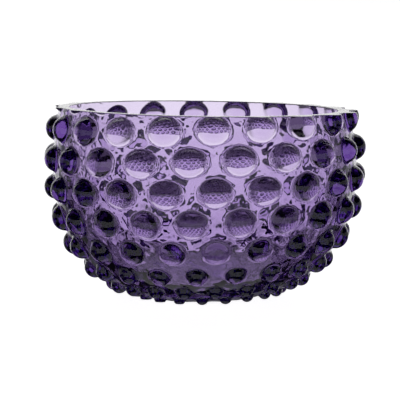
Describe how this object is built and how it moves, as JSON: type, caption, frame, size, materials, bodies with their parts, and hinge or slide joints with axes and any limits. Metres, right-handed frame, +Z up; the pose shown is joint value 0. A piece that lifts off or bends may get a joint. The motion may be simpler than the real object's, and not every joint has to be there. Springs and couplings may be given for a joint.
{
  "type": "hobnail glass bowl",
  "caption": "Deep round bowl of tinted glass with a smooth inside, staggered rings of domed hobs outside, and a rim and base ground flat.",
  "frame": {"origin": "middle of the ground base, on the surface that the bowl stands on", "axes": "+Z up, out of the mouth; +X towards the side where the rings of hobs sit higher and the rim cuts the top ring"},
  "size_m": [0.2198, 0.219, 0.1282],
  "materials": {
    "amethyst_glass": "clear purple glass, fire polished outside, with a ground rim and base"
  },
  "bodies": {
    "root": {"bowl": "amethyst_glass"}
  },
  "joints": []
}
